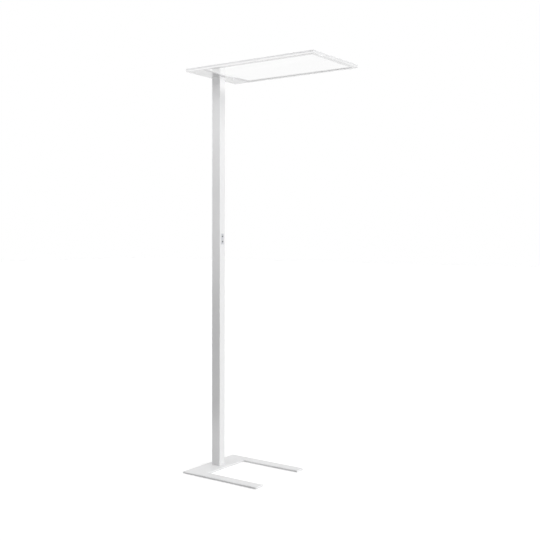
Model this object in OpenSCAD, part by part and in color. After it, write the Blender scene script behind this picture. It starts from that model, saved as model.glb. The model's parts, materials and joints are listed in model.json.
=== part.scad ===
// Free-standing office floor lamp: a U-shaped steel base, a hollow extruded post with a keypad,
// and a thin flat head that shines down through an opal panel and up through a lens.
// Origin: on the floor under the post's axis. +X runs along the legs and the head, +Z is up.

/* [Overall] */
// Height from the floor to the top of the head
lamp_h = 1950; // [1700:5:2100]
// Clearance where one piece drops into another
fit_gap = 0.3; // [0.2:0.05:0.5]
// Chamfer that breaks the head's edges
edge_break = 0.5; // [0.2:0.1:0.8]

/* [Base] */
// Length of the base along its legs
base_l = 442; // [400:1:520]
// Width across both legs
base_w = 394; // [320:1:460]
// Thickness of the steel base
base_t = 8; // [6:0.5:14]
// From the post's axis back to the base's rear edge
base_back = 62; // [52:1:80]
// Depth of the bar that joins the legs
bar_d = 114; // [104:1:140]
// Width of one leg
leg_w = 56; // [40:1:70]
// Corner radius of the base
base_r = 3; // [1:0.5:10]
// Chamfer that breaks the base's upper edges
base_break = 1.2; // [0.3:0.1:2]
// Thickness of the soft underlay
underlay_t = 1; // [0.8:0.1:3]
// How far the underlay stays inside the base's edge
underlay_in = 3; // [1:0.5:8]

/* [Post] */
// Size of the post along the head
post_x = 50; // [48:1:64]
// Size of the post across the head
post_y = 40; // [38:1:56]
// Wall of the extrusion
post_wall = 2.2; // [1.8:0.1:3]
// Outer corner radius of the extrusion
post_r = 1.5; // [0.8:0.1:2.2]
// Radius of a screw port in the extrusion
port_r = 2.5; // [2.1:0.05:2.7]
// Wall round a screw port
port_wall = 1.5; // [1.2:0.1:2]
// From the post's outer faces to a screw port's centre
port_in = 5.7; // [5.2:0.1:6.2]
// Width of the slit along a screw port
port_slit = 1.6; // [1:0.1:2]

/* [Mains inlet] */
// Height of the inlet's centre above the floor
inlet_z = 62; // [45:1:90]
// Height of the inlet's flange
inlet_flange_h = 31; // [29:0.5:34]
// Width of the inlet's flange
inlet_flange_w = 24; // [23:0.5:27]
// Thickness of the inlet's flange
inlet_flange_t = 2.5; // [2:0.1:3.5]
// Corner radius of the inlet's flange
inlet_flange_r = 3; // [1:0.5:4]
// Height of the inlet's body
inlet_h = 27; // [26.5:0.1:28]
// Width of the inlet's body
inlet_w = 19.6; // [19.2:0.1:20.2]
// Depth of the inlet's body behind the flange
inlet_d = 22; // [20:0.5:25]
// Depth of the socket from the flange's face
socket_d = 17; // [15.5:0.5:18]
// Wall round the socket
socket_wall = 1.3; // [1:0.1:1.5]
// Chamfer on two of the socket's corners
socket_chamfer = 4.5; // [3:0.5:5]
// Length of a contact pin inside the socket
pin_l = 11; // [9:0.5:11.5]
// Thickness of a contact pin
pin_t = 2; // [1.6:0.1:2.4]
// Width of a contact pin
pin_w = 4; // [3.5:0.1:4.5]
// Distance between the two outer pins
pin_pitch = 14; // [13:0.5:15]
// Offset of the middle pin from the outer pins' line
pin_offset = 4; // [3:0.5:4.5]
// Length of a solder tab behind the body
tab_l = 7; // [5:0.5:9]

/* [Driver] */
// Length of the driver's metal case
driver_l = 320; // [260:5:360]
// Width of the driver along X
driver_x = 30; // [26:0.5:31]
// Depth of the driver along Y
driver_y = 21; // [18:0.5:22]
// Corner radius of the driver
driver_r = 1.5; // [0.5:0.1:2.5]
// Length of each end cap
driver_cap = 20; // [14:1:26]
// Height of the driver's lower end above the inlet's centre
driver_lift = 88; // [60:1:120]
// Thickness of a driver clip's band
clip_t = 1.2; // [0.8:0.1:1.6]
// Height of a driver clip
clip_h = 14; // [8:1:20]
// Width of the folds by which a clip bears on the post's walls
clip_fold = 10; // [6:1:16]

/* [Leads] */
// Diameter of the mains lead
mains_lead_d = 6; // [5:0.1:7]
// Diameter of the lead to the head
led_lead_d = 5; // [4:0.1:5.5]
// Diameter of the lead to the keypad
control_lead_d = 4; // [3:0.1:4.5]
// Bend radius of a lead's centreline inside the post
lead_bend = 8; // [7:0.5:9]
// Diameter of a thin lead inside the head
thin_lead_d = 1.6; // [1.2:0.1:1.8]
// Bend radius of a thin lead's centreline
thin_bend = 3; // [2.5:0.1:3.4]

/* [Keypad] */
// Height of the keypad's centre above the floor
keypad_z = 1140; // [950:1:1250]
// Height of the keypad's face plate
keypad_h = 54; // [52:1:66]
// Width of the keypad's face plate
keypad_w = 21; // [19:0.5:26]
// Corner radius of the keypad's face plate
keypad_r = 2; // [1:0.1:4]
// How far the face plate reaches past its frame, above and below
keypad_rim = 4; // [2:0.5:5]
// How far the face plate stands out of the post
keypad_out = 0.8; // [0.5:0.1:1.5]
// Thickness of the face plate in front of the buttons
keypad_skin = 1.6; // [1.4:0.1:2]
// Ledge in the keypad's frame, on which its board rests
board_ledge = 0.8; // [0.6:0.1:1]
// Wall of the keypad's frame
keypad_wall = 1.3; // [1:0.1:1.6]
// Diameter of a button's cap
button_d = 8; // [6.5:0.1:10]
// Distance between the buttons' centres
button_pitch = 25.4; // [23:0.1:28]
// How far a button's cap stands out of the face plate
button_out = 0.9; // [0.8:0.05:1.5]
// Travel of a button
button_travel = 0.7; // [0.4:0.05:0.8]
// Gap all round a button's cap
button_gap = 0.25; // [0.15:0.05:0.35]
// How far a button's flange stands out past its cap
button_lip = 1; // [0.8:0.1:1.3]
// Thickness of a button's flange
button_flange = 1.1; // [0.8:0.1:1.3]
// Chamfer on the edges of the face plate and the buttons
keypad_break = 0.3; // [0.1:0.05:0.4]
// Diameter of a switch's plunger
plunger_d = 3.4; // [3:0.1:4]
// Diameter of the status window between the buttons
status_d = 4; // [3:0.1:6]
// Thickness of a circuit board
board_t = 1.2; // [1:0.1:1.6]

/* [Head] */
// Length of the head
head_l = 720; // [650:1:800]
// Width of the head
head_w = 384; // [340:1:430]
// From the post's axis back to the head's rear edge
head_back = 45; // [40:0.5:60]
// Corner radius of the head
head_r = 1.5; // [1:0.1:3]
// Thickness of the sheet under the head
sheet_t = 1.5; // [1.2:0.1:2]
// Width of the frame round the opal panel
lip_w = 20; // [18:0.5:24]
// Width of the frame behind the rear cover
rear_lip = 12; // [9:0.5:14]
// Depth of the recess in which the opal panel lies
recess_d = 3.5; // [2.6:0.1:5]
// From the head's rear edge to the opal panel's window
strip_d = 99.5; // [92:0.5:110]
// Line of shadow between the rear cover and the frame
reveal = 0.6; // [0.4:0.1:1]
// Thickness of the top cover's turned-down edge
rim_wall = 4; // [3:0.1:4.4]
// Width of the glowing rim
rim_foot = 11; // [10:0.5:12]
// Visible height of the top cover's edge
skirt_h = 8; // [6.4:0.1:11]
// Thickness of the top cover
cover_t = 2; // [1.8:0.1:2.6]

/* [Panels and lights] */
// Thickness of the opal panel
diffuser_t = 2; // [1.5:0.1:3]
// How far a panel's edge runs past its window
panel_tuck = 5; // [3:0.5:6]
// Thickness of the light guide
guide_t = 3.2; // [3:0.1:4]
// Thickness of the reflector sheet
reflector_t = 0.5; // [0.3:0.1:0.8]
// Thickness of the tray that carries the head
tray_t = 1.5; // [1.2:0.1:2.5]
// Height of a stiffening bead pressed up in the tray
bead_h = 1; // [0.6:0.1:1.4]
// Height of a light-emitting chip
chip_h = 0.8; // [0.6:0.1:1]
// Size of a chip's side
chip_side = 2.8; // [2:0.1:3]
// Number of chips on the edge strip
strip_chips = 32; // [16:1:40]
// Number of chips on one upper board
upper_chips = 14; // [8:1:20]
// Number of upper boards
upper_boards = 3; // [2:1:4]
// Width of an upper board
upper_board_w = 24; // [16:1:30]
// From the head's edges to the upper lens
lens_in = 45; // [36:1:60]
// Ledge under the upper lens
lens_ledge = 6; // [4:0.5:8]
// Corner radius of the upper lens
lens_r = 4; // [2:0.5:8]
// Thickness of the upper lens
lens_t = 1; // [0.8:0.05:1.2]
// Thickness of the bar that cools the edge strip
carrier_t = 4; // [3.5:0.1:5]

/* [Bracket] */
// Length of the bracket along X
bracket_x = 60; // [58:1:70]
// Width of the bracket along Y
bracket_y = 120; // [116:1:160]
// Corner radius of the bracket
bracket_r = 4; // [1:0.5:6]
// Radius of the bracket's lead hole
lead_hole_r = 8; // [7.5:0.1:9]
// Wall of the grommet in the lead hole
grommet_wall = 1.5; // [1:0.1:1.8]

/* [Hidden] */
$fn = 48;
eps = 0.01;
hair = 0.05;

// Base and post
base_top = underlay_t + base_t;
base_x0 = -base_back;
base_x1 = base_x0 + base_l;
slot_x0 = base_x0 + bar_d;
slot_w = base_w - 2 * leg_w;
port_x = post_x / 2 - port_in;
port_y = post_y / 2 - port_in;

// Screws in the post's ports, from below and from above
screw_grip = 26;
screw_r = port_r - 0.1;
screw_head_r = 2 * screw_r;
screw_head_h = 0.9 * screw_r;
screw_play = 0.2;

// Head, from below to above
head_t = recess_d + diffuser_t + guide_t + reflector_t + tray_t + board_t + chip_h
  + fit_gap + cover_t;
head_z = lamp_h - head_t;
sheet_z = head_z + sheet_t;
panel_z = head_z + recess_d;
guide_z = panel_z + diffuser_t;
reflector_z = guide_z + guide_t;
tray_z = reflector_z + reflector_t;
tray_top = tray_z + tray_t;
cover_z = lamp_h - cover_t;
skirt_z = lamp_h - skirt_h;
bay_h = tray_z - sheet_z;
head_x0 = -head_back;
head_x1 = head_x0 + head_l;
head_y1 = head_w / 2;
window_x0 = head_x0 + strip_d;
window_x1 = head_x1 - lip_w;
window_y1 = head_y1 - lip_w;
frame_x0 = head_x0 + rear_lip;
guide_edge = rim_foot + fit_gap;
guide_behind = 2.5;
chip_air = 0.2;
strip_in = 8;
lens_behind = 30;
guide_x0 = window_x0 - panel_tuck - guide_behind;
chip_x0 = guide_x0 - chip_air - chip_h;
strip_x0 = chip_x0 - board_t;
carrier_x0 = strip_x0 - carrier_t;
strip_half = window_y1 - strip_in;
post_top = sheet_z;
lens_x0 = window_x0 + lens_behind;
lens_x1 = head_x1 - lens_in;
lens_y1 = head_y1 - lens_in;

// Cover screws stand this far inside the head's edges
cover_screw_in = rim_wall + 3;
cover_screw_r = 1.2;
boss_r = 2.3;
cover_screw_cols = 5;
cover_screw_grip = 0.7 * bay_h;
cover_screw_l = lamp_h - tray_z + cover_screw_grip;
cover_screw_at = concat(
  [for (i = [0 : cover_screw_cols - 1], s = [-1, 1])
    [head_x0 + cover_screw_in + i * (head_l - 2 * cover_screw_in) / (cover_screw_cols - 1),
     s * (head_y1 - cover_screw_in)]],
  [[head_x0 + cover_screw_in, 0], [head_x1 - cover_screw_in, 0]]);

// Bracket screws, tray screws and rear cover screws
port_at = [for (sx = [-1, 1], sy = [-1, 1]) [sx * port_x, sy * port_y]];
bracket_screw_x = bracket_x / 2 - 6;
tray_screw_r = 2;
tray_screw_y = bracket_y / 2 - 8;
tray_screw_at = [for (sx = [-1, 1], sy = [-1, 1]) [sx * bracket_screw_x, sy * tray_screw_y]];
rear_screw_r = 1.4;
rear_head_r = 2.7;
rear_head_h = sheet_t - 0.1;
rear_screw_grip = 5;
rear_screw_y = bracket_y / 2 - 24;
carrier_screw_y = strip_half - 14;
rear_screw_at = concat(
  [for (sx = [-1, 1], sy = [-1, 1]) [sx * bracket_screw_x, sy * rear_screw_y]],
  [for (sy = [-1, 1]) [carrier_x0 + carrier_t / 2, sy * carrier_screw_y]]);

// Channel for the lead across the bracket
channel_play = 0.5;
channel_w = led_lead_d + 2.5;
channel_z = tray_z - led_lead_d - 2 * channel_play;

// Inlet and keypad
face_x = post_x / 2;
socket_h = inlet_h - 2 * socket_wall;
socket_w = inlet_w - 2 * socket_wall;
socket_x = -face_x - inlet_flange_t + socket_d;
inlet_back = -face_x + inlet_d;
pin_at = [[pin_pitch / 2, -pin_offset / 2], [-pin_pitch / 2, -pin_offset / 2], [0, pin_offset / 2]];
keypad_face = face_x + keypad_out;
skin_x = keypad_face - keypad_skin;
flange_gap = 0.2;
flange_x = skin_x - hair - button_flange;
flange_r = button_d / 2 + button_lip;
frame_h = keypad_h - 2 * keypad_rim;
frame_w = 2 * (flange_r + flange_gap + board_ledge + keypad_wall);
stem_l = 2;
switch_side = 6;
switch_h = 3.5;
switch_gap = button_travel + 0.5;
switch_x = flange_x - stem_l - switch_gap - switch_h;
keyboard_x = switch_x - board_t;
frame_back = keyboard_x - 0.5;
plunger_bore = 2.2;
button_up_z = keypad_z + button_pitch / 2;
button_down_z = keypad_z - button_pitch / 2;
board_half = frame_w / 2 - keypad_wall - fit_gap;
plug_x = 4;
plug_side = 6;
plug_up = 10;
plug_z = keypad_z - frame_h / 2 + plug_up;

// Driver and leads
driver_z0 = inlet_z + driver_lift;
driver_z1 = driver_z0 + driver_l + 2 * driver_cap;
mains_x = inlet_back + tab_l + lead_bend;
lead_play = 0.2;
led_lead_y = -(lead_hole_r - grommet_wall - led_lead_d / 2 - lead_play);
control_lead_y = board_half - plug_side / 2;

// Terminal block beside the bracket, and the thin leads from it
terminal_half = 12;
terminal_from_bracket = 8;
terminal_w = 22;
terminal_y0 = bracket_y / 2 + terminal_from_bracket;
terminal_y1 = terminal_y0 + terminal_w;
terminal_mid = [(terminal_y0 + terminal_y1) / 2, (sheet_z + tray_z) / 2];
upper_board_in = 15;
upper_y = [for (i = [0 : upper_boards - 1])
  -lens_y1 + (i + 0.5) * 2 * lens_y1 / upper_boards];
upper_board_x0 = lens_x0 + upper_board_in;
upper_board_x1 = lens_x1 - upper_board_in;
upper_lead_out = 2;
upper_lead_y = terminal_y1 + upper_lead_out + thin_bend;
upper_lead_z = tray_top + thin_lead_d / 2 + hair;
harness_w = 3;
harness_x = upper_board_x0 - 4;

// Middles of n equal stretches between -half and half
function row_points(n, half) = [for (i = [0 : n - 1]) -half + (i + 0.5) * 2 * half / n];

// Rectangle with round corners, from its lowest to its highest corner
module round_rect(x0, y0, x1, y1, r) {
  translate([x0 + r, y0])
    square([x1 - x0 - 2 * r, y1 - y0]);
  translate([x0, y0 + r])
    square([x1 - x0, y1 - y0 - 2 * r]);
  for (x = [x0 + r, x1 - r], y = [y0 + r, y1 - r])
    translate([x, y])
      circle(r);
}

// Plate of thickness t with round corners, its upper edges broken by a chamfer e. Two sections
// trim it, one seen along each side; they run past the plate below and above.
module eased_plate(x0, y0, x1, y1, r, t, e) {
  intersection() {
    linear_extrude(t)
      round_rect(x0, y0, x1, y1, r);
    translate([x0 - 1, 0, 0])
      rotate([90, 0, 90])
        linear_extrude(x1 - x0 + 2)
          broken_section(y0, y1, t, e);
    translate([0, y1 + 1, 0])
      rotate([90, 0, 0])
        linear_extrude(y1 - y0 + 2)
          broken_section(x0, x1, t, e);
  }
}

module broken_section(side0, side1, t, e) {
  polygon([[side0 - 1, -1], [side1 + 1, -1], [side1 + 1, t - e - 1], [side1 - e - 1, t + 1],
    [side0 + e + 1, t + 1], [side0 - 1, t - e - 1]]);
}

// Block between two corners
module block(low, high) {
  translate(low)
    cube(high - low);
}

// Countersunk screw, head up, with its head's face at z = 0
module countersunk(r, head_r, head_h, length) {
  difference() {
    union() {
      translate([0, 0, -head_h])
        cylinder(r1 = r, r2 = head_r, h = head_h);
      translate([0, 0, -length])
        cylinder(r = r, h = length - head_h + eps);
    }
    translate([0, 0, -head_h * 0.6])
      cylinder(r = r * 0.7, h = head_h, $fn = 6);
  }
}

// Hole that a countersunk screw needs, from its head's face down
module countersink(r, head_r, head_h, length) {
  translate([0, 0, -length])
    cylinder(r = r + hair, h = length + eps);
  translate([0, 0, -head_h])
    cylinder(r1 = r + hair, r2 = head_r + hair, h = head_h + eps);
}

// Quarter bend of a round lead in the XZ plane: it arrives upwards at the origin, leaves along +X
module quarter_bend(d, bend) {
  translate([bend, 0, 0])
    rotate([90, 0, 0])
      rotate([0, 0, 90])
        rotate_extrude(angle = 90)
          translate([bend, 0])
            circle(d = d);
}

// Steel plate with a slot between its legs, and all its upper edges broken
module base_plate() {
  color([0.9, 0.9, 0.91])
    difference() {
      translate([0, 0, underlay_t])
        eased_plate(base_x0, -base_w / 2, base_x1, base_w / 2, base_r, base_t, base_break);
      translate([0, 0, underlay_t - 1])
        linear_extrude(base_t + 2)
          round_rect(slot_x0, -slot_w / 2, base_x1 + 4 * base_r, slot_w / 2, base_r);
      slot_edges();
      for (p = port_at)
        translate([p[0], p[1], underlay_t])
          rotate([180, 0, 0])
            countersink(screw_r + screw_play, screw_head_r, screw_head_h, base_t + 1);
    }
}

// What the chamfers along the slot's straight edges take away from the base
module slot_edges() {
  low = base_top - base_break - 1;
  high = base_top + 1;
  in = slot_w / 2 - 1;
  out = slot_w / 2 + base_break + 1;
  translate([slot_x0 + base_r, 0, 0])
    rotate([90, 0, 90])
      linear_extrude(base_x1 + 1 - slot_x0 - base_r)
        polygon([[-in, low], [in, low], [out, high], [-out, high]]);
  translate([0, slot_w / 2 - base_r, 0])
    rotate([90, 0, 0])
      linear_extrude(slot_w - 2 * base_r)
        polygon([[slot_x0 + 1, low], [slot_x0 + 1, high], [slot_x0 - base_break - 1, high]]);
}

// Soft sheet of the base's outline, drawn in from its edges
module base_underlay() {
  color([0.35, 0.35, 0.36])
    linear_extrude(underlay_t)
      difference() {
        round_rect(base_x0 + underlay_in, -base_w / 2 + underlay_in, base_x1 - underlay_in,
          base_w / 2 - underlay_in, base_r);
        round_rect(slot_x0 - underlay_in, -slot_w / 2 - underlay_in, base_x1 + 4 * base_r,
          slot_w / 2 + underlay_in, base_r);
      }
}

module post_screws() {
  color([0.6, 0.6, 0.62])
    for (p = port_at)
      translate([p[0], p[1], underlay_t])
        rotate([180, 0, 0])
          countersunk(screw_r, screw_head_r, screw_head_h, base_t + screw_grip);
}

// Section of the extrusion: a hollow rectangle with four slit screw ports in its corners
module post_section() {
  inner_x = face_x - post_wall;
  inner_y = post_y / 2 - post_wall;
  difference() {
    union() {
      difference() {
        round_rect(-face_x, -post_y / 2, face_x, post_y / 2, post_r);
        translate([-inner_x, -inner_y])
          square([2 * inner_x, 2 * inner_y]);
      }
      for (p = port_at)
        translate(p)
          circle(port_r + port_wall);
    }
    for (p = port_at)
      translate(p) {
        circle(port_r);
        rotate(atan2(-p[1], -p[0]))
          translate([0, -port_slit / 2])
            square([port_r + port_wall + 1, port_slit]);
      }
  }
}

module post() {
  color([0.93, 0.93, 0.94])
    difference() {
      translate([0, 0, base_top])
        linear_extrude(post_top - base_top)
          post_section();
      block([-face_x - 1, -inlet_w / 2 - fit_gap, inlet_z - inlet_h / 2 - fit_gap],
        [inlet_back + fit_gap, inlet_w / 2 + fit_gap, inlet_z + inlet_h / 2 + fit_gap]);
      block([frame_back - fit_gap, -frame_w / 2 - fit_gap, keypad_z - frame_h / 2 - fit_gap],
        [face_x + 1, frame_w / 2 + fit_gap, keypad_z + frame_h / 2 + fit_gap]);
    }
}

// Outline of the socket, with two corners cut off
module socket_outline() {
  polygon([[-socket_h / 2, -socket_w / 2], [socket_h / 2, -socket_w / 2],
    [socket_h / 2, socket_w / 2 - socket_chamfer], [socket_h / 2 - socket_chamfer, socket_w / 2],
    [-socket_h / 2 + socket_chamfer, socket_w / 2],
    [-socket_h / 2, socket_w / 2 - socket_chamfer]]);
}

// Turns a drawing so that its x runs down the post, its y across it, and its depth into the post
module into_post(x, z) {
  translate([x, 0, z])
    rotate([0, 90, 0])
      children();
}

module inlet_body() {
  color([0.12, 0.12, 0.13])
    difference() {
      union() {
        into_post(-face_x - inlet_flange_t, inlet_z)
          linear_extrude(inlet_flange_t)
            round_rect(-inlet_flange_h / 2, -inlet_flange_w / 2, inlet_flange_h / 2,
              inlet_flange_w / 2, inlet_flange_r);
        block([-face_x, -inlet_w / 2, inlet_z - inlet_h / 2],
          [inlet_back, inlet_w / 2, inlet_z + inlet_h / 2]);
      }
      into_post(-face_x - inlet_flange_t - eps, inlet_z)
        linear_extrude(socket_d)
          socket_outline();
      for (p = pin_at)
        into_post(socket_x - 1, inlet_z)
          translate([p[0] - pin_t / 2 - hair, p[1] - pin_w / 2 - hair, 0])
            cube([pin_t + 2 * hair, pin_w + 2 * hair, inlet_d]);
    }
}

module inlet_pins() {
  pin_full = pin_l + inlet_back - socket_x + tab_l;
  color([0.75, 0.72, 0.6])
    for (p = pin_at)
      into_post(socket_x - pin_l, inlet_z)
        translate([p[0] - pin_t / 2, p[1] - pin_w / 2, 0])
          cube([pin_t, pin_w, pin_full]);
}

module driver_case() {
  color([0.8, 0.8, 0.82])
    translate([0, 0, driver_z0 + driver_cap])
      linear_extrude(driver_l)
        round_rect(-driver_x / 2, -driver_y / 2, driver_x / 2, driver_y / 2, driver_r);
}

module driver_end_caps() {
  color([0.95, 0.95, 0.93])
    for (z = [driver_z0, driver_z1 - driver_cap])
      translate([0, 0, z])
        linear_extrude(driver_cap)
          round_rect(-driver_x / 2, -driver_y / 2, driver_x / 2, driver_y / 2, driver_r);
}

// Two spring bands that hold the driver between the post's side walls
module driver_clips() {
  inner_y = post_y / 2 - post_wall;
  band_y = driver_y / 2 + clip_t;
  color([0.7, 0.7, 0.72])
    for (z = [driver_z0 + driver_l * 0.25, driver_z0 + driver_l * 0.85])
      translate([0, 0, z])
        linear_extrude(clip_h)
          difference() {
            union() {
              round_rect(-driver_x / 2 - clip_t, -band_y, driver_x / 2 + clip_t, band_y,
                driver_r + clip_t);
              translate([-clip_fold / 2, -inner_y])
                square([clip_fold, 2 * inner_y]);
            }
            round_rect(-driver_x / 2, -driver_y / 2, driver_x / 2, driver_y / 2, driver_r);
            for (s = [0, 180])
              rotate(s)
                translate([-clip_fold / 2 + clip_t, band_y])
                  square([clip_fold - 2 * clip_t, inner_y - clip_t - band_y]);
          }
}

// From the inlet's tabs up into the driver's lower end
module mains_lead() {
  color([0.15, 0.15, 0.16]) {
    translate([mains_x - lead_bend, 0, inlet_z])
      mirror([0, 0, 1])
        translate([lead_bend, 0, -lead_bend])
          mirror([1, 0, 0])
            quarter_bend(mains_lead_d, lead_bend);
    translate([mains_x, 0, inlet_z + lead_bend])
      cylinder(d = mains_lead_d, h = driver_z0 - inlet_z - lead_bend);
  }
}

// From the driver's upper end through the bracket to the terminal block
module led_lead() {
  lead_z = channel_z + led_lead_d / 2 + channel_play;
  color([0.85, 0.85, 0.85]) {
    translate([0, led_lead_y, driver_z1])
      cylinder(d = led_lead_d, h = lead_z - lead_bend - driver_z1);
    translate([0, led_lead_y, lead_z - lead_bend])
      rotate([0, 0, 90])
        quarter_bend(led_lead_d, lead_bend);
    translate([0, led_lead_y + lead_bend, lead_z])
      rotate([-90, 0, 0])
        cylinder(d = led_lead_d, h = terminal_y0 - led_lead_y - lead_bend);
  }
}

// From the driver's upper end to the plug on the keypad's board
module control_lead() {
  color([0.2, 0.2, 0.22]) {
    translate([0, control_lead_y, driver_z1])
      cylinder(d = control_lead_d, h = plug_z - lead_bend - driver_z1);
    translate([0, control_lead_y, plug_z - lead_bend])
      quarter_bend(control_lead_d, lead_bend);
    translate([lead_bend, control_lead_y, plug_z])
      rotate([0, 90, 0])
        cylinder(d = control_lead_d, h = keyboard_x - plug_x - lead_bend);
  }
}

// From the terminal block through the strip carrier to the back of the edge strip
module strip_lead() {
  color([0.85, 0.85, 0.85])
    translate([terminal_half, terminal_mid[0], terminal_mid[1]])
      rotate([0, 90, 0])
        cylinder(d = thin_lead_d, h = strip_x0 - terminal_half);
}

// From the terminal block up through the tray to a flat harness, with a branch to each upper board
module upper_lead() {
  turn_z = upper_lead_z - thin_bend;
  harness_y0 = min(upper_y);
  harness_y1 = max(concat(upper_y, [upper_lead_y]));
  color([0.85, 0.85, 0.85]) {
    translate([0, terminal_y1, turn_z - thin_bend])
      rotate([-90, 0, 0])
        cylinder(d = thin_lead_d, h = upper_lead_out);
    translate([0, upper_lead_y, turn_z])
      rotate([0, 180, 90])
        quarter_bend(thin_lead_d, thin_bend);
    translate([0, upper_lead_y, turn_z])
      quarter_bend(thin_lead_d, thin_bend);
    translate([thin_bend, upper_lead_y, upper_lead_z])
      rotate([0, 90, 0])
        cylinder(d = thin_lead_d, h = harness_x - thin_bend);
    block([harness_x - harness_w / 2, harness_y0 - harness_w / 2, tray_top],
      [harness_x + harness_w / 2, harness_y1 + harness_w / 2, tray_top + thin_lead_d + 2 * hair]);
    for (y = upper_y)
      translate([harness_x, y, upper_lead_z])
        rotate([0, 90, 0])
          cylinder(d = thin_lead_d, h = upper_board_x0 - harness_x);
  }
}

// Space inside the keypad's frame, between two depths
module keypad_cavity(x0, x1, wall) {
  block([x0, -frame_w / 2 + wall, keypad_z - frame_h / 2 + wall],
    [x1, frame_w / 2 - wall, keypad_z + frame_h / 2 - wall]);
}

// Face plate of the keypad with the frame behind it, which holds the board and guides the buttons
module keypad_bezel() {
  color([0.72, 0.73, 0.75])
    difference() {
      union() {
        into_post(face_x, keypad_z)
          eased_plate(-keypad_h / 2, -keypad_w / 2, keypad_h / 2, keypad_w / 2, keypad_r,
            keypad_out, keypad_break);
        block([frame_back, -frame_w / 2, keypad_z - frame_h / 2],
          [face_x, frame_w / 2, keypad_z + frame_h / 2]);
      }
      keypad_cavity(frame_back - 1, switch_x, keypad_wall);
      keypad_cavity(switch_x - eps, skin_x, keypad_wall + board_ledge);
      for (z = [button_up_z, button_down_z])
        into_post(skin_x - 1, z)
          cylinder(r = button_d / 2 + button_gap, h = keypad_skin + 2);
      into_post(skin_x - 1, (button_up_z + button_down_z) / 2)
        cylinder(d = status_d + 2 * hair, h = keypad_skin + 2);
    }
}

// One button, turned from one profile: a dished cap with a broken edge, a flange that holds it
// behind the face plate, and a stem
module button(z) {
  cap_l = keypad_face + button_out - flange_x;
  cap_r = button_d / 2;
  stem_r = plunger_d / 2 + 0.8;
  dish_r = 3 * button_d;
  dish_depth = 0.035 * button_d;
  color([0.25, 0.26, 0.28])
    into_post(flange_x, z)
      difference() {
        rotate_extrude()
          polygon([[0, -stem_l], [stem_r, -stem_l], [stem_r, 0], [flange_r, 0],
            [flange_r, button_flange], [cap_r, button_flange], [cap_r, cap_l - keypad_break],
            [cap_r - keypad_break, cap_l], [0, cap_l]]);
        translate([0, 0, cap_l + dish_r - dish_depth])
          sphere(r = dish_r, $fn = 96);
      }
}

module button_up() {
  button(button_up_z);
}

module button_down() {
  button(button_down_z);
}

// Round plunger that passes a button's push into its switch, clear of the bore's end when pressed
module plunger(z) {
  end_x = switch_x + switch_h - plunger_bore + button_travel + fit_gap;
  color([0.8, 0.3, 0.2])
    into_post(end_x, z)
      cylinder(d = plunger_d, h = flange_x - stem_l - end_x);
}

module plunger_up() {
  plunger(button_up_z);
}

module plunger_down() {
  plunger(button_down_z);
}

module keypad_switches() {
  color([0.1, 0.1, 0.1])
    for (z = [button_up_z, button_down_z])
      difference() {
        block([switch_x, -switch_side / 2, z - switch_side / 2],
          [switch_x + switch_h, switch_side / 2, z + switch_side / 2]);
        into_post(switch_x + switch_h - plunger_bore, z)
          cylinder(r = plunger_d / 2 + hair, h = plunger_bore + 1);
      }
}

// Board across the back of the keypad's frame, with the control lead's plug on its rear side
module keypad_board() {
  color([0.1, 0.35, 0.2]) {
    block([keyboard_x, -board_half, keypad_z - frame_h / 2 + keypad_wall + fit_gap],
      [switch_x, board_half, keypad_z + frame_h / 2 - keypad_wall - fit_gap]);
    block([keyboard_x - plug_x, control_lead_y - plug_side / 2, plug_z - plug_side / 2],
      [keyboard_x, control_lead_y + plug_side / 2, plug_z + plug_side / 2]);
  }
}

// Light pipe from the board to the face plate
module status_window() {
  color([0.3, 0.32, 0.34, 0.8])
    into_post(switch_x, (button_up_z + button_down_z) / 2)
      cylinder(d = status_d, h = keypad_face - switch_x);
}

// Milled block between the post's top and the tray, with a channel for the lead
module mast_bracket() {
  color([0.75, 0.76, 0.78])
    difference() {
      translate([0, 0, sheet_z])
        linear_extrude(bay_h)
          round_rect(-bracket_x / 2, -bracket_y / 2, bracket_x / 2, bracket_y / 2, bracket_r);
      translate([0, 0, sheet_z - 1])
        cylinder(r = lead_hole_r, h = bay_h + 2);
      block([-channel_w / 2, 0, channel_z], [channel_w / 2, bracket_y / 2 + 1, tray_z + 1]);
      for (p = port_at)
        translate([p[0], p[1], tray_z])
          countersink(screw_r + screw_play, screw_head_r, screw_head_h, bay_h + 1);
      for (p = tray_screw_at)
        translate([p[0], p[1], sheet_z - 1])
          cylinder(r = tray_screw_r + hair, h = bay_h + 2);
      for (p = rear_screw_at)
        translate([p[0], p[1], sheet_z - 1])
          cylinder(r = rear_screw_r + hair, h = rear_screw_grip + 2);
    }
}

module bracket_screws() {
  color([0.6, 0.6, 0.62])
    for (p = port_at)
      translate([p[0], p[1], tray_z])
        countersunk(screw_r, screw_head_r, screw_head_h, bay_h + screw_grip);
}

// Rubber ring that lines the bracket's lead hole, with its collar inside the post
module lead_grommet() {
  collar_t = 1.5;
  color([0.1, 0.1, 0.1])
    translate([0, 0, sheet_z])
      difference() {
        union() {
          cylinder(r = lead_hole_r - hair, h = channel_z - sheet_z - 0.1);
          translate([0, 0, -collar_t])
            cylinder(r = lead_hole_r + 1.2, h = collar_t);
        }
        translate([0, 0, -collar_t - 1])
          cylinder(r = lead_hole_r - grommet_wall, h = bay_h);
      }
}

// Pan-head screws that hold the tray down on the bracket
module tray_screws() {
  head_h = board_t + chip_h - 0.2;
  color([0.6, 0.6, 0.62])
    for (p = tray_screw_at)
      translate([p[0], p[1], 0]) {
        translate([0, 0, sheet_z + 1])
          cylinder(r = tray_screw_r, h = tray_top - sheet_z - 1 + eps);
        translate([0, 0, tray_top])
          difference() {
            cylinder(r = 1.8 * tray_screw_r, h = head_h);
            translate([0, 0, head_h * 0.4])
              cylinder(r = tray_screw_r * 0.6, h = head_h, $fn = 6);
          }
      }
}

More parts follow.
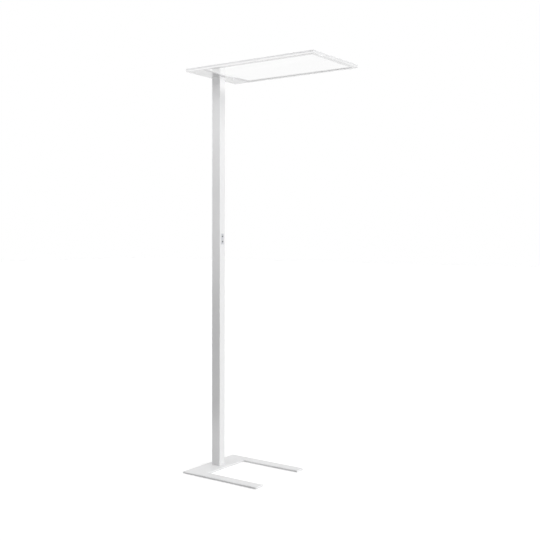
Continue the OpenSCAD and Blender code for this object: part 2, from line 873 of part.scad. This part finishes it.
// Sheet frame under the head, turned up at its window's edge
module bezel_frame() {
  color([0.88, 0.88, 0.89]) {
    difference() {
      translate([0, 0, sheet_z])
        mirror([0, 0, 1])
          eased_plate(head_x0, -head_y1, head_x1, head_y1, head_r, sheet_t, edge_break);
      block([frame_x0, -window_y1, head_z - 1], [window_x1, window_y1, sheet_z + 1]);
    }
    translate([0, 0, head_z])
      linear_extrude(recess_d)
        difference() {
          translate([window_x0 - panel_tuck, -window_y1 - sheet_t])
            square([window_x1 - window_x0 + panel_tuck + sheet_t, 2 * window_y1 + 2 * sheet_t]);
          translate([frame_x0, -window_y1])
            square([window_x1 - frame_x0, 2 * window_y1]);
        }
  }
}

// Opaque cover behind the opal panel; the post comes up through it
module rear_cover() {
  cover_x0 = frame_x0 + reveal;
  cover_y1 = window_y1 - reveal;
  color([0.88, 0.88, 0.89])
    difference() {
      union() {
        block([cover_x0, -cover_y1, head_z], [window_x0, cover_y1, sheet_z]);
        block([window_x0 - sheet_t, -cover_y1, head_z], [window_x0, cover_y1, panel_z]);
      }
      translate([0, 0, head_z - 1])
        linear_extrude(sheet_t + 2)
          round_rect(-face_x - fit_gap, -post_y / 2 - fit_gap, face_x + fit_gap,
            post_y / 2 + fit_gap, post_r);
      for (p = rear_screw_at)
        translate([p[0], p[1], head_z])
          rotate([180, 0, 0])
            countersink(rear_screw_r, rear_head_r, rear_head_h, sheet_t + 1);
    }
}

module rear_cover_screws() {
  color([0.6, 0.6, 0.62])
    for (p = rear_screw_at)
      translate([p[0], p[1], head_z])
        rotate([180, 0, 0])
          countersunk(rear_screw_r, rear_head_r, rear_head_h, sheet_t + rear_screw_grip);
}

// Part of the head's outline that belongs to one side, cut off at 45 degrees
module side_region(side) {
  m = rim_foot + 2;
  g = fit_gap / 2;
  low = [head_x0, -head_y1];
  high = [head_x1, head_y1];
  if (side == "near")
    polygon([[low[0] + g, low[1]], [high[0] - g, low[1]], [high[0] - g - m, low[1] + m],
      [low[0] + g + m, low[1] + m]]);
  if (side == "far")
    polygon([[low[0] + g, high[1]], [low[0] + g + m, high[1] - m],
      [high[0] - g - m, high[1] - m], [high[0] - g, high[1]]]);
  if (side == "rear")
    polygon([[low[0], low[1] + g], [low[0] + m, low[1] + g + m], [low[0] + m, high[1] - g - m],
      [low[0], high[1] - g]]);
  if (side == "front")
    polygon([[high[0], low[1] + g], [high[0], high[1] - g], [high[0] - m, high[1] - g - m],
      [high[0] - m, low[1] + g + m]]);
}

// Opal bars round the head, mitred at the corners. The cover's edge stands on them outside, and the
// tray on a step inside it.
module glow_rim() {
  color([1, 1, 1])
    for (side = ["near", "far", "rear", "front"])
      difference() {
        union() {
          translate([0, 0, sheet_z])
            linear_extrude(skirt_z - sheet_z)
              intersection() {
                rim_ring(rim_foot);
                side_region(side);
              }
          translate([0, 0, skirt_z - eps])
            linear_extrude(tray_z - skirt_z + eps)
              intersection() {
                step_ring();
                side_region(side);
              }
        }
        for (p = cover_screw_at)
          translate([p[0], p[1], sheet_z + 0.2 * bay_h])
            cylinder(r = cover_screw_r + hair, h = bay_h);
      }
}

// Head's outline without all that lies further in than w
module rim_ring(w) {
  difference() {
    round_rect(head_x0, -head_y1, head_x1, head_y1, head_r);
    head_inside(w);
  }
}

module step_ring() {
  difference() {
    head_inside(rim_wall + fit_gap);
    head_inside(rim_foot);
  }
}

// Rectangle that stays w inside the head's edges
module head_inside(w) {
  translate([head_x0 + w, -head_y1 + w])
    square([head_l - 2 * w, head_w - 2 * w]);
}

module diffuser() {
  color([1, 1, 1])
    block([window_x0 - panel_tuck, -window_y1 - panel_tuck, panel_z],
      [window_x1 + panel_tuck, window_y1 + panel_tuck, guide_z]);
}

module light_guide() {
  color([0.85, 0.95, 0.95, 0.6])
    block([guide_x0, -head_y1 + guide_edge, guide_z],
      [head_x1 - guide_edge, head_y1 - guide_edge, reflector_z]);
}

module reflector_sheet() {
  color([0.97, 0.97, 0.97])
    block([guide_x0, -head_y1 + guide_edge, reflector_z],
      [head_x1 - guide_edge, head_y1 - guide_edge, tray_z]);
}

module strip_carrier() {
  color([0.7, 0.71, 0.73])
    difference() {
      block([carrier_x0, -strip_half, sheet_z], [strip_x0, strip_half, tray_z]);
      for (p = rear_screw_at)
        translate([p[0], p[1], sheet_z - 1])
          cylinder(r = rear_screw_r + hair, h = rear_screw_grip + 2);
      translate([carrier_x0 - 1, terminal_mid[0], terminal_mid[1]])
        rotate([0, 90, 0])
          cylinder(d = thin_lead_d + 2 * fit_gap, h = carrier_t + 2);
    }
}

module edge_strip() {
  color([0.95, 0.95, 0.95])
    block([strip_x0, -strip_half, sheet_z + fit_gap], [chip_x0, strip_half, tray_z - fit_gap]);
}

module edge_chips() {
  chip_z = guide_z + (guide_t - chip_side) / 2;
  end_gap = 4;
  color([1, 0.9, 0.5])
    for (y = row_points(strip_chips, strip_half - end_gap))
      block([chip_x0, y - chip_side / 2, chip_z], [chip_x0 + chip_h, y + chip_side / 2,
        chip_z + chip_side]);
}

// Hangs from the tray beside the bracket, where the lead ends
module terminal_block() {
  block_z = sheet_z + 2 * fit_gap;
  well_r = 1.6;
  well_d = 3;
  well_x = terminal_half - 4;
  well_in = 6;
  color([0.92, 0.92, 0.9])
    difference() {
      block([-terminal_half, terminal_y0, block_z], [terminal_half, terminal_y1, tray_z]);
      for (x = [-well_x, well_x], y = [terminal_y0 + well_in, terminal_y1 - well_in])
        translate([x, y, block_z - 1])
          cylinder(r = well_r, h = well_d + 1);
    }
}

// Bead pressed up in the tray: its outside, and with grow = -tray_t the groove below it
module tray_bead(y, grow) {
  bead_r = 3;
  bead_in = 10;
  bead_x0 = upper_board_x0 + bead_in;
  bead_x1 = upper_board_x1 - bead_in;
  translate([bead_x0, y, tray_top + bead_h - bead_r])
    rotate([0, 90, 0])
      cylinder(r = bead_r + grow, h = bead_x1 - bead_x0);
  for (x = [bead_x0, bead_x1])
    translate([x, y, tray_top + bead_h - bead_r])
      sphere(r = bead_r + grow);
}

// Sheet that carries the head, with bosses for the cover, beads between the upper boards and a
// slot for their lead
module chassis_tray() {
  inset = rim_wall + fit_gap;
  slot_gap = 0.6;
  slot_side = thin_lead_d / 2 + slot_gap;
  low = [head_x0 + inset, -head_y1 + inset, tray_z];
  high = [head_x1 - inset, head_y1 - inset, tray_top];
  color([0.72, 0.73, 0.75])
    difference() {
      union() {
        block(low, high);
        intersection() {
          for (i = [1 : upper_boards - 1])
            tray_bead((upper_y[i - 1] + upper_y[i]) / 2, 0);
          block(low, high + [0, 0, bead_h]);
        }
        for (p = cover_screw_at)
          translate([p[0], p[1], tray_z])
            cylinder(r = boss_r, h = cover_z - tray_z);
      }
      for (i = [1 : upper_boards - 1])
        tray_bead((upper_y[i - 1] + upper_y[i]) / 2, -tray_t);
      for (p = cover_screw_at)
        translate([p[0], p[1], tray_z - 1])
          cylinder(r = cover_screw_r + hair, h = cover_z - tray_z + 2);
      for (p = tray_screw_at)
        translate([p[0], p[1], tray_z - 1])
          cylinder(r = tray_screw_r + hair, h = tray_t + 2);
      translate([0, 0, tray_z - 1])
        linear_extrude(tray_t + 2)
          round_rect(-slot_side, upper_lead_y - slot_side, thin_bend + slot_gap,
            upper_lead_y + slot_side, 1);
    }
}

module upper_light_boards() {
  color([0.95, 0.95, 0.95])
    for (y = upper_y)
      block([upper_board_x0, y - upper_board_w / 2, tray_top],
        [upper_board_x1, y + upper_board_w / 2, tray_top + board_t]);
}

module upper_light_chips() {
  mid = (upper_board_x0 + upper_board_x1) / 2;
  end_gap = 5;
  half = (upper_board_x1 - upper_board_x0) / 2 - end_gap;
  color([1, 0.9, 0.5])
    for (y = upper_y, x = row_points(upper_chips, half))
      block([mid + x - chip_side / 2, y - chip_side / 2, tray_top + board_t],
        [mid + x + chip_side / 2, y + chip_side / 2, tray_top + board_t + chip_h]);
}

module upper_lens() {
  w = lens_ledge - fit_gap;
  color([0.98, 0.98, 0.98])
    translate([0, 0, lamp_h - lens_t])
      linear_extrude(lens_t)
        round_rect(lens_x0 - w, -lens_y1 - w, lens_x1 + w, lens_y1 + w, lens_r);
}

// Lid of the head, with a turned-down edge and a stepped window for the upper lens
module top_cover() {
  color([0.93, 0.93, 0.94])
    difference() {
      union() {
        translate([0, 0, cover_z])
          eased_plate(head_x0, -head_y1, head_x1, head_y1, head_r, cover_t, edge_break);
        translate([0, 0, skirt_z])
          linear_extrude(cover_z - skirt_z + eps)
            rim_ring(rim_wall);
      }
      translate([0, 0, lamp_h - lens_t])
        linear_extrude(lens_t + 1)
          round_rect(lens_x0 - lens_ledge, -lens_y1 - lens_ledge, lens_x1 + lens_ledge,
            lens_y1 + lens_ledge, lens_r);
      translate([0, 0, cover_z - 1])
        linear_extrude(cover_t + 2)
          round_rect(lens_x0, -lens_y1, lens_x1, lens_y1, lens_r);
      for (p = cover_screw_at)
        translate([p[0], p[1], lamp_h])
          countersink(cover_screw_r, 2 * cover_screw_r, cover_screw_r, cover_t + 1);
    }
}

module cover_screws() {
  color([0.6, 0.6, 0.62])
    for (p = cover_screw_at)
      translate([p[0], p[1], lamp_h])
        countersunk(cover_screw_r, 2 * cover_screw_r, cover_screw_r, cover_screw_l);
}

base_plate();
base_underlay();
post_screws();
post();
inlet_body();
inlet_pins();
driver_case();
driver_end_caps();
driver_clips();
mains_lead();
led_lead();
control_lead();
strip_lead();
upper_lead();
keypad_bezel();
button_up();
button_down();
plunger_up();
plunger_down();
keypad_switches();
keypad_board();
status_window();
mast_bracket();
bracket_screws();
lead_grommet();
tray_screws();
bezel_frame();
rear_cover();
rear_cover_screws();
glow_rim();
diffuser();
light_guide();
reflector_sheet();
strip_carrier();
edge_strip();
edge_chips();
terminal_block();
chassis_tray();
upper_light_boards();
upper_light_chips();
upper_lens();
top_cover();
cover_screws();
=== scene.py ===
import json
import math

import bmesh
import bpy
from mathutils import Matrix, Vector


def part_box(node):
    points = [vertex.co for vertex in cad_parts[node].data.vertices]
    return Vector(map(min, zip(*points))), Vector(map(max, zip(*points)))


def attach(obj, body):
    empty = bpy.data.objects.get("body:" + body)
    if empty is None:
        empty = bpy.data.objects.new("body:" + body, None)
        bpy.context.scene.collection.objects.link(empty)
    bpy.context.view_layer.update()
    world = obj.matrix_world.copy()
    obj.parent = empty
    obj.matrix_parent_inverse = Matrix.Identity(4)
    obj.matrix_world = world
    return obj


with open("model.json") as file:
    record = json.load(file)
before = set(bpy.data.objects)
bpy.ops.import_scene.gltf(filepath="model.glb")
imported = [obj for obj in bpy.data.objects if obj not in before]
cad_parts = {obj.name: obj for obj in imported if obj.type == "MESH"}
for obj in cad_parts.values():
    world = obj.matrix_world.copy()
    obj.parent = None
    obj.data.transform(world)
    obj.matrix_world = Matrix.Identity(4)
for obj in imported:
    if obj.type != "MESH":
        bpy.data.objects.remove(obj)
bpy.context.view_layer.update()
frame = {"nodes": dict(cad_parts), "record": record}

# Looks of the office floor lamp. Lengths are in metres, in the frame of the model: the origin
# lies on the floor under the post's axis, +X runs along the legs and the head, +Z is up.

MM = 0.001
STAND = "lamp"
scene = bpy.context.scene
scene.view_settings.view_transform = "Standard"


# ---------------------------------------------------------------- camera

# Fitted to the edges of the post, the base and the head in the photograph, without a lens shift
CAMERA_PLACE = (2.5919, -3.1923, 1.1481)
CAMERA_PITCH = math.radians(-2.252)
CAMERA_ROLL = math.radians(0.193)
CAMERA_TURN = math.radians(35.509)
LENS_MM = 55.072
SENSOR_MM = 36.0
CAMERA_REACH = 60


def make_camera():
    data = bpy.data.cameras.new("camera")
    data.lens = LENS_MM
    data.sensor_width = SENSOR_MM
    data.clip_end = CAMERA_REACH
    camera = bpy.data.objects.new("camera", data)
    camera.location = CAMERA_PLACE
    camera.rotation_euler = (math.radians(90) + CAMERA_PITCH, -CAMERA_ROLL, CAMERA_TURN)
    scene.collection.objects.link(camera)
    scene.camera = camera


make_camera()


# ---------------------------------------------------------------- light and floor

WHITE = (1, 1, 1, 1)

# The floor's colour in views and reflections, its colour as it lights the lamp from below, and
# the share of its own light
FLOOR_HALF = 30.0
FLOOR_DROP = 0.2 * MM
FLOOR_ROUGH = 0.9
FLOOR_SEEN = (0.82, 0.82, 0.82, 1)
FLOOR_BOUNCE = (0.735, 0.735, 0.735, 1)
FLOOR_LIFT = 0.3

# The room's light: a level everywhere, and for each axis how much more comes from its positive
# end and the power that narrows it
ROOM_LEVEL = 0.03
ROOM_AXES = {"X": (0.8, 3), "Y": (0.8, 3), "Z": (2.6, 6)}

SUN_POWER = 1.37
SUN_ELEVATION = math.radians(12)
SUN_SPREAD = math.radians(30)

SOFT_BOX_PLACE = (0.2, -1.0, 2.3)
SOFT_BOX_AIM = (0.2, 0, 1.6)
SOFT_BOX_WIDTH = 1.3
SOFT_BOX_HEIGHT = 0.5
SOFT_BOX_POWER = 5.5

# Spots: place, aim, angle of the cone, radius, power
SPOTS = {
    "spot_post_top": ((1.0, -0.2, 1.88), (0.025, 0, 1.945), math.radians(12), 0.01, 20),
    "spot_post_high": ((-0.35, -0.9, 1.9), (0, 0, 1.55), math.radians(44), 0.1, 6.4),
    "spot_post_middle": ((-0.35, -0.9, 1.3), (0, 0, 1.08), math.radians(36), 0.1, 3.9),
    "spot_post_foot": ((-0.25, -0.9, 0.35), (0, 0, 0.1), math.radians(24), 0.03, 4.2),
}

PANEL_GLOW = 0.4
PANEL_GLOW_INSET = 60 * MM
PANEL_GLOW_DROP = 1 * MM
STRAIGHT_DOWN = (0, 0, 0)


def calculate(tree, operation, first, second=0.0):
    """A Math node; each operand is a number or a socket."""
    node = tree.nodes.new("ShaderNodeMath")
    node.operation = operation
    for socket, value in zip(node.inputs, (first, second)):
        if isinstance(value, (int, float)):
            socket.default_value = value
        else:
            tree.links.new(value, socket)
    return node.outputs[0]


def seen_white(tree):
    """1 where a camera, glossy or transmission ray looks, so that these see a white room."""
    path = tree.nodes.new("ShaderNodeLightPath")
    first = calculate(tree, "MAXIMUM", path.outputs["Is Camera Ray"],
                      path.outputs["Is Glossy Ray"])
    return calculate(tree, "MAXIMUM", first, path.outputs["Is Transmission Ray"])


def make_room():
    """White to look at, and a soft light from above, with a little from +X and +Y."""
    world = bpy.data.worlds.new("studio")
    world.use_nodes = True
    tree = world.node_tree
    background = tree.nodes["Background"]
    background.inputs["Color"].default_value = WHITE
    where = tree.nodes.new("ShaderNodeTexCoord")
    axes = tree.nodes.new("ShaderNodeSeparateXYZ")
    tree.links.new(where.outputs["Generated"], axes.inputs[0])
    level = ROOM_LEVEL
    for axis, (share, power) in ROOM_AXES.items():
        along = calculate(tree, "MAXIMUM", axes.outputs[axis], 0.0)
        along = calculate(tree, "POWER", along, power)
        level = calculate(tree, "ADD", calculate(tree, "MULTIPLY", along, share), level)
    mix = tree.nodes.new("ShaderNodeMix")
    tree.links.new(seen_white(tree), mix.inputs["Factor"])
    tree.links.new(level, mix.inputs["A"])
    mix.inputs["B"].default_value = 1.0
    tree.links.new(mix.outputs["Result"], background.inputs["Strength"])
    scene.world = world


def make_sun():
    """Soft low light from +X, which makes that side of the post the bright one."""
    data = bpy.data.lights.new("sun", "SUN")
    data.energy = SUN_POWER
    data.angle = SUN_SPREAD
    sun = bpy.data.objects.new("sun", data)
    sun.rotation_euler = (0, math.radians(90) - SUN_ELEVATION, 0)
    scene.collection.objects.link(sun)


def turn_to(place, aim):
    """The turn of a light at one place that shines at another."""
    return (Vector(aim) - Vector(place)).to_track_quat("-Z", "Y").to_euler()


def hang_light(data, place, turn):
    """Puts a light in the scene, out of sight and out of reflections."""
    lamp = bpy.data.objects.new(data.name, data)
    lamp.location = place
    lamp.rotation_euler = turn
    lamp.visible_camera = False
    lamp.visible_glossy = False
    scene.collection.objects.link(lamp)


def make_area(name, place, turn, width, height, power):
    data = bpy.data.lights.new(name, "AREA")
    data.shape = "RECTANGLE"
    data.size = width
    data.size_y = height
    data.energy = power
    hang_light(data, place, turn)


def make_soft_box():
    """Lights the near side of the head and the post, and fades towards the floor."""
    make_area("soft_box", SOFT_BOX_PLACE, turn_to(SOFT_BOX_PLACE, SOFT_BOX_AIM),
              SOFT_BOX_WIDTH, SOFT_BOX_HEIGHT, SOFT_BOX_POWER)


def make_spots():
    """They light the post's near side in three places, and its top where the head shades it.
    Each fades to nothing at the edge of its cone."""
    for name, (place, aim, angle, radius, power) in SPOTS.items():
        data = bpy.data.lights.new(name, "SPOT")
        data.energy = power
        data.spot_size = angle
        data.spot_blend = 1.0
        data.shadow_soft_size = radius
        hang_light(data, place, turn_to(place, aim))


def make_panel_glow():
    """The light that the opal panel throws down beyond what its own surface shows."""
    panel_low, panel_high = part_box("diffuser")
    middle = (panel_low + panel_high) / 2
    width = panel_high.x - panel_low.x - 2 * PANEL_GLOW_INSET
    height = panel_high.y - panel_low.y - 2 * PANEL_GLOW_INSET
    place = (middle.x, middle.y, panel_low.z - PANEL_GLOW_DROP)
    make_area("panel_glow", place, STRAIGHT_DOWN, width, height,
              PANEL_GLOW * math.pi * width * height)


def floor_material():
    """Pale with a share of its own light, so that it meets the white room without an edge, and
    clear from below, so that it doesn't hide the object's underside."""
    material = bpy.data.materials.new("floor_white")
    material.use_nodes = True
    tree = material.node_tree
    shader = tree.nodes["Principled BSDF"]
    shader.inputs["Roughness"].default_value = FLOOR_ROUGH
    shader.inputs["Specular IOR Level"].default_value = 0.0
    seen = seen_white(tree)
    color = tree.nodes.new("ShaderNodeMix")
    color.data_type = "RGBA"
    color.inputs["A"].default_value = FLOOR_BOUNCE
    color.inputs["B"].default_value = FLOOR_SEEN
    tree.links.new(seen, color.inputs["Factor"])
    tree.links.new(color.outputs["Result"], shader.inputs["Base Color"])
    shader.inputs["Emission Color"].default_value = WHITE
    lift = calculate(tree, "MULTIPLY", seen, FLOOR_LIFT)
    tree.links.new(lift, shader.inputs["Emission Strength"])
    side = tree.nodes.new("ShaderNodeNewGeometry")
    clear = tree.nodes.new("ShaderNodeBsdfTransparent")
    both = tree.nodes.new("ShaderNodeMixShader")
    tree.links.new(side.outputs["Backfacing"], both.inputs["Fac"])
    tree.links.new(shader.outputs["BSDF"], both.inputs[1])
    tree.links.new(clear.outputs["BSDF"], both.inputs[2])
    tree.links.new(both.outputs["Shader"], tree.nodes["Material Output"].inputs["Surface"])
    return material


def make_floor():
    mesh = bmesh.new()
    bmesh.ops.create_grid(mesh, x_segments=1, y_segments=1, size=FLOOR_HALF)
    data = bpy.data.meshes.new("floor")
    mesh.to_mesh(data)
    mesh.free()
    floor = bpy.data.objects.new("floor", data)
    floor.location.z = -FLOOR_DROP
    scene.collection.objects.link(floor)
    data.materials.append(floor_material())


make_room()
make_sun()
make_soft_box()
make_spots()
make_panel_glow()
make_floor()


# ---------------------------------------------------------------- finishes

NOISE_LOW = 0.3
NOISE_HIGH = 0.7
GRAIN_DETAIL = 3.0
PATCH_DETAIL = 2.0
EVEN = (1, 1, 1)
ALONG_HEAD = (0.02, 1, 1)


def texture_place(tree, scale):
    """Place on the object in metres, stretched by a factor per axis."""
    where = tree.nodes.new("ShaderNodeTexCoord")
    mapping = tree.nodes.new("ShaderNodeMapping")
    mapping.inputs["Scale"].default_value = scale
    tree.links.new(where.outputs["Object"], mapping.inputs["Vector"])
    return mapping.outputs["Vector"]


def noise(tree, place, scale, detail):
    node = tree.nodes.new("ShaderNodeTexNoise")
    node.inputs["Scale"].default_value = scale
    node.inputs["Detail"].default_value = detail
    tree.links.new(place, node.inputs["Vector"])
    return node.outputs["Fac"]


def spread(tree, value, low, high):
    """A noise value, brought from its usual range into another."""
    node = tree.nodes.new("ShaderNodeMapRange")
    node.inputs["From Min"].default_value = NOISE_LOW
    node.inputs["From Max"].default_value = NOISE_HIGH
    node.inputs["To Min"].default_value = low
    node.inputs["To Max"].default_value = high
    tree.links.new(value, node.inputs["Value"])
    return node.outputs["Result"]


def shaded(color, factor):
    return tuple(min(1.0, c * factor) for c in color) + (1,)


def finish(name, color, rough, grain_mm, depth_mm, metal=0.0, tone=0.03, rough_spread=0.04,
           stretch=EVEN, patch_mm=40.0, glow=0.0, **uniform):
    """A surface with a fine grain in its relief, and slow changes in its tone and roughness.
    The rest are even values of the shader's own inputs, by name."""
    material = bpy.data.materials.new(name)
    material.use_nodes = True
    tree = material.node_tree
    shader = tree.nodes["Principled BSDF"]
    grain = noise(tree, texture_place(tree, stretch), 1 / (grain_mm * MM), GRAIN_DETAIL)
    patches = noise(tree, texture_place(tree, EVEN), 1 / (patch_mm * MM), PATCH_DETAIL)

    mix = tree.nodes.new("ShaderNodeMix")
    mix.data_type = "RGBA"
    mix.inputs["A"].default_value = shaded(color, 1 - tone)
    mix.inputs["B"].default_value = shaded(color, 1 + tone)
    both = calculate(tree, "ADD", spread(tree, patches, 0.0, 0.5), spread(tree, grain, 0.0, 0.5))
    tree.links.new(both, mix.inputs["Factor"])
    tree.links.new(mix.outputs["Result"], shader.inputs["Base Color"])

    tree.links.new(spread(tree, patches, rough - rough_spread, rough + rough_spread),
                   shader.inputs["Roughness"])
    bump = tree.nodes.new("ShaderNodeBump")
    bump.inputs["Strength"].default_value = 1.0
    bump.inputs["Distance"].default_value = depth_mm * MM
    tree.links.new(grain, bump.inputs["Height"])
    tree.links.new(bump.outputs["Normal"], shader.inputs["Normal"])
    shader.inputs["Metallic"].default_value = metal
    shader.inputs["Emission Color"].default_value = WHITE
    shader.inputs["Emission Strength"].default_value = glow
    for socket, value in uniform.items():
        shader.inputs[socket.replace("_", " ").title().replace("Ior", "IOR")].default_value = value
    return material


def facing(tree, axis):
    """How far a surface faces along an axis: 1 along it either way, 0 across it."""
    side = tree.nodes.new("ShaderNodeNewGeometry")
    axes = tree.nodes.new("ShaderNodeSeparateXYZ")
    tree.links.new(side.outputs["Normal"], axes.inputs[0])
    return calculate(tree, "ABSOLUTE", axes.outputs[axis])


def dim_ends(material, share):
    """The rim glows less at the head's ends, where no light source stands behind it."""
    tree = material.node_tree
    glow = tree.nodes["Principled BSDF"].inputs["Emission Strength"]
    end = calculate(tree, "MULTIPLY", facing(tree, "X"), share)
    tree.links.new(calculate(tree, "SUBTRACT", glow.default_value, end), glow)


def paint_shade_on_walls(material, share):
    """Painted shade: the upright faces of a sheet, its cut edges and the walls of its recess, are
    darkened for the shade that falls on them.
    """
    tree = material.node_tree
    color = tree.nodes["Principled BSDF"].inputs["Base Color"]
    mix = tree.nodes.new("ShaderNodeMix")
    mix.data_type = "RGBA"
    mix.blend_type = "MULTIPLY"
    tree.links.new(calculate(tree, "SUBTRACT", 1.0, facing(tree, "Z")), mix.inputs["Factor"])
    tree.links.new(color.links[0].from_socket, mix.inputs["A"])
    mix.inputs["B"].default_value = shaded((1, 1, 1), 1 - share)
    tree.links.new(mix.outputs["Result"], color)


# Colour, roughness, then the grain's width and the relief's depth in millimetres
FINISHES = {
    "frame_silver": finish("satin_coat_silver", (0.765, 0.765, 0.77), 0.34, 0.7, 0.004, tone=0.008,
                           patch_mm=120),
    "head_silver": finish("satin_coat_head", (0.78, 0.78, 0.785), 0.28, 0.7, 0.003, tone=0.006,
                          patch_mm=160),
    "bezel_white": finish("satin_coat_bezel_painted_shade", (0.80, 0.80, 0.805), 0.3, 0.7, 0.002, tone=0.006,
                          patch_mm=160, coat_weight=1.0, coat_roughness=0.12),
    "strip_white": finish("satin_coat_strip", (0.69, 0.69, 0.695), 0.28, 0.7, 0.002, tone=0.006,
                          patch_mm=160, coat_weight=1.0, coat_roughness=0.1),
    "base_silver": finish("coarse_coat_silver", (0.81, 0.81, 0.815), 0.48, 1.1, 0.012, tone=0.012,
                          patch_mm=90),
    "underlay_felt": finish("pressed_underlay", (0.22, 0.22, 0.23), 0.95, 0.9, 0.15, tone=0.2),
    "bare_aluminium": finish("rolled_aluminium", (0.72, 0.73, 0.75), 0.3, 0.35, 0.003,
                             metal=1.0, stretch=ALONG_HEAD),
    "screw_steel": finish("zinc_steel", (0.62, 0.62, 0.64), 0.28, 0.25, 0.003, metal=1.0),
    "inlet_black": finish("grained_black", (0.03, 0.03, 0.033), 0.5, 0.45, 0.02, tone=0.15),
    "contact_brass": finish("plated_contact", (0.72, 0.66, 0.48), 0.25, 0.3, 0.002, metal=1.0),
    "housing_white": finish("moulded_white", (0.85, 0.85, 0.83), 0.45, 0.5, 0.008),
    "keypad_grey": finish("keypad_plate", (0.60, 0.605, 0.63), 0.3, 0.5, 0.003, tone=0.01),
    "button_dark": finish("soft_touch_dark", (0.055, 0.058, 0.064), 0.5, 0.3, 0.01, tone=0.12),
    "plunger_red": finish("plunger_red", (0.55, 0.12, 0.08), 0.4, 0.5, 0.004),
    "status_smoke": finish("smoked_window", (0.35, 0.36, 0.38), 0.12, 0.8, 0.001),
    "print_grey": finish("print_grey", (0.25, 0.26, 0.28), 0.6, 0.3, 0.002),
    "board_green": finish("board_lacquer", (0.05, 0.22, 0.10), 0.3, 0.8, 0.01),
    "board_white": finish("board_white_lacquer", (0.86, 0.86, 0.86), 0.35, 0.8, 0.01),
    "chip_yellow": finish("phosphor", (0.95, 0.80, 0.30), 0.6, 0.2, 0.01),
    "lead_black": finish("lead_jacket_black", (0.03, 0.03, 0.032), 0.55, 0.5, 0.02),
    "lead_white": finish("lead_jacket_white", (0.78, 0.78, 0.78), 0.5, 0.5, 0.02),
    "opal_panel": finish("opal_panel", (0.15, 0.15, 0.15), 0.3, 3.0, 0.001, glow=0.824,
                         specular_ior_level=0.0, coat_weight=1.0, coat_roughness=0.04),
    "opal_rim": finish("opal_rim", (0.05, 0.05, 0.05), 0.4, 0.8, 0.003, glow=0.84,
                       coat_weight=0.5, coat_roughness=0.2),
    "opal_lens": finish("opal_lens", (0.15, 0.15, 0.15), 0.45, 0.6, 0.01, glow=0.8),
    "guide_clear": finish("clear_guide", (0.85, 0.93, 0.93), 0.05, 3.0, 0.001,
                          transmission_weight=0.9),
    "reflector_white": finish("reflector_film", (0.93, 0.93, 0.93), 0.8, 0.5, 0.003),
}

RIM_ENDS_DIMMED = 0.08
# Share of painted shade on the bezel's upright faces and the walls of its recess
BEZEL_WALLS_PAINTED_SHADE = 0.16

dim_ends(FINISHES["opal_rim"], RIM_ENDS_DIMMED)
paint_shade_on_walls(FINISHES["bezel_white"], BEZEL_WALLS_PAINTED_SHADE)

# Nodes whose finish isn't that of their material slot
OWN_FINISH = {"rear_cover": "strip_white"}


def dress_nodes():
    """Gives each node of the model its own finish, or that of its material slot."""
    slots = {part["node"]: part["material_slot"] for part in frame["record"]["subparts"]}
    for name, node in frame["nodes"].items():
        node.data.materials.clear()
        node.data.materials.append(FINISHES[OWN_FINISH.get(name, slots[name])])


dress_nodes()


# ---------------------------------------------------------------- marks on the keypad

MARK_SPAN = 4.0 * MM
MARK_STROKE = 0.9 * MM
MARK_RAISE = 0.06 * MM
MARK_INSET = 4.6 * MM


def plate(name, outline, place):
    """A thin raised shape on the keypad's face; the outline's points are (across, up)."""
    mesh = bmesh.new()
    face = mesh.faces.new([mesh.verts.new((0, across, up)) for across, up in outline])
    raised = bmesh.ops.extrude_face_region(mesh, geom=[face])
    top = [v for v in raised["geom"] if isinstance(v, bmesh.types.BMVert)]
    bmesh.ops.translate(mesh, verts=top, vec=(MARK_RAISE, 0, 0))
    bmesh.ops.recalc_face_normals(mesh, faces=mesh.faces)
    data = bpy.data.meshes.new(name)
    mesh.to_mesh(data)
    mesh.free()
    piece = bpy.data.objects.new(name, data)
    piece.location = place
    scene.collection.objects.link(piece)
    return piece


def bar_outline(span, stroke):
    return [(-span / 2, -stroke / 2), (span / 2, -stroke / 2),
            (span / 2, stroke / 2), (-span / 2, stroke / 2)]


def cross_outline(span, stroke):
    """The outline of a plus sign: one arm's three points, turned four times."""
    arm = [(stroke / 2, stroke / 2), (span / 2, stroke / 2), (span / 2, -stroke / 2)]
    points = []
    for turn in range(4):
        angle = -turn * math.pi / 2
        points += [(a * math.cos(angle) - b * math.sin(angle),
                    a * math.sin(angle) + b * math.cos(angle)) for a, b in arm]
    return points


def make_keypad_marks():
    """A plus over the upper button and a minus under the lower one."""
    low_corner, high_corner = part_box("keypad_bezel")
    marks = [("mark_plus", cross_outline(MARK_SPAN, MARK_STROKE), high_corner.z - MARK_INSET),
             ("mark_minus", bar_outline(MARK_SPAN, MARK_STROKE), low_corner.z + MARK_INSET)]
    for name, outline, z in marks:
        mark = plate(name, outline, (high_corner.x, 0, z))
        mark.data.materials.append(FINISHES["print_grey"])
        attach(mark, STAND)


make_keypad_marks()
